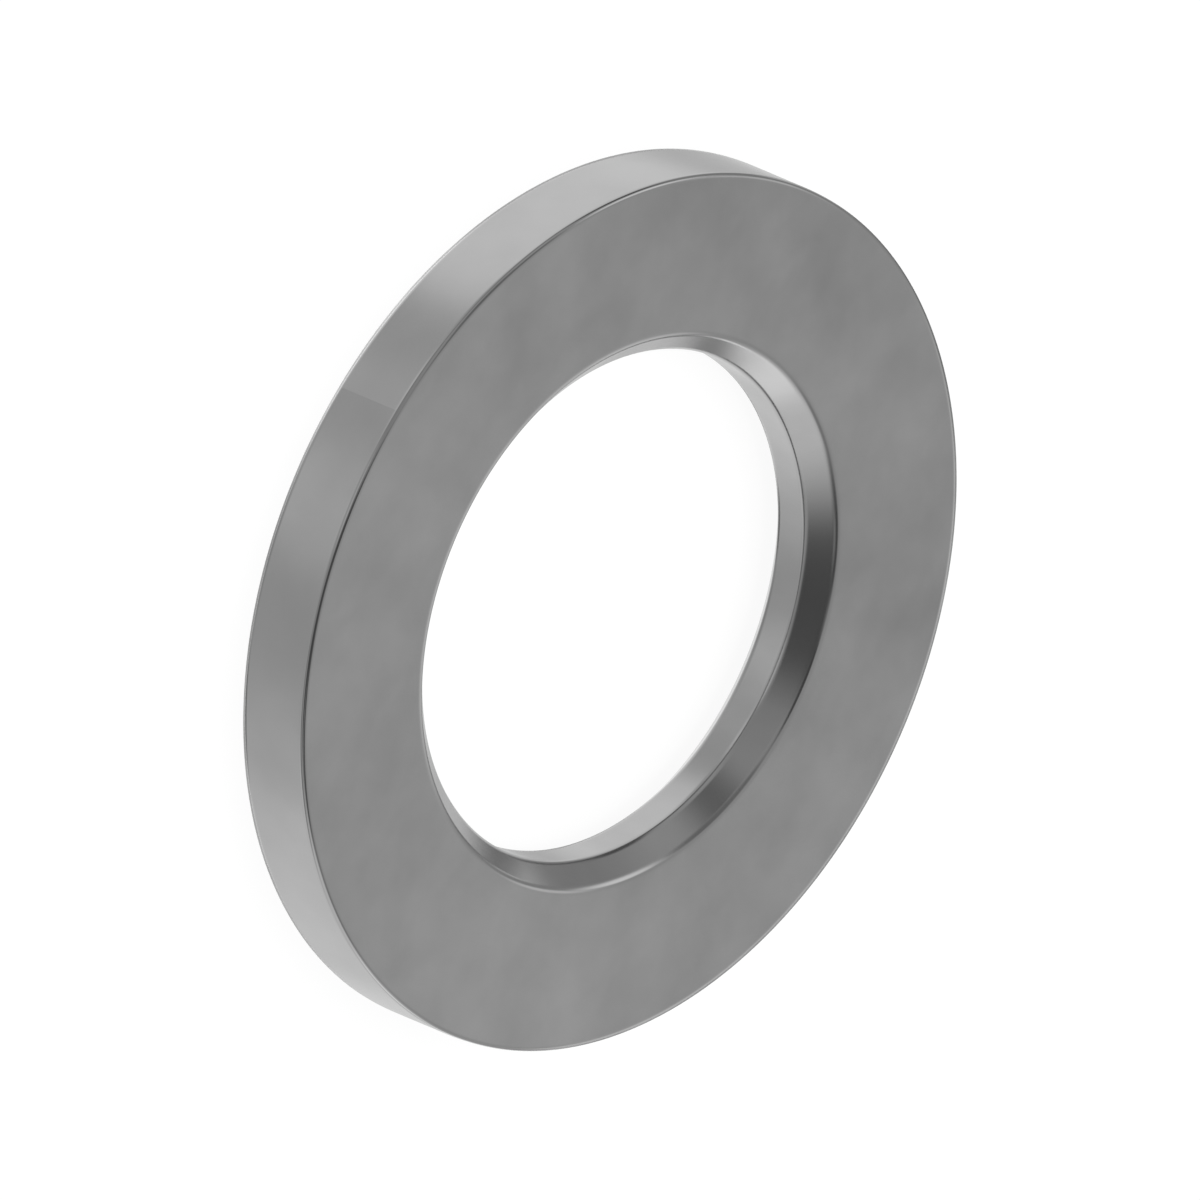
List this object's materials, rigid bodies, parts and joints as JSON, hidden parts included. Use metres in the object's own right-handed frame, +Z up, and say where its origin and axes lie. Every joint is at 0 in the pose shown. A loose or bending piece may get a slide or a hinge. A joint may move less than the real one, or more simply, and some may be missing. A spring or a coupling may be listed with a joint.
{
  "type": "washer",
  "caption": "Flat steel ring washer with a round bore chamfered at 45 degrees on both faces and lightly broken outer rims.",
  "frame": {"origin": "centre of the lower face, on the axis of the bore", "axes": "+Z up along the bore's axis, from the lower face to the upper one"},
  "size_m": [0.018, 0.018, 0.0017],
  "materials": {
    "steel": "satin bare steel, finely ground faces and a smooth turned rim and bore"
  },
  "bodies": {
    "root": {"washer": "steel"}
  },
  "joints": []
}
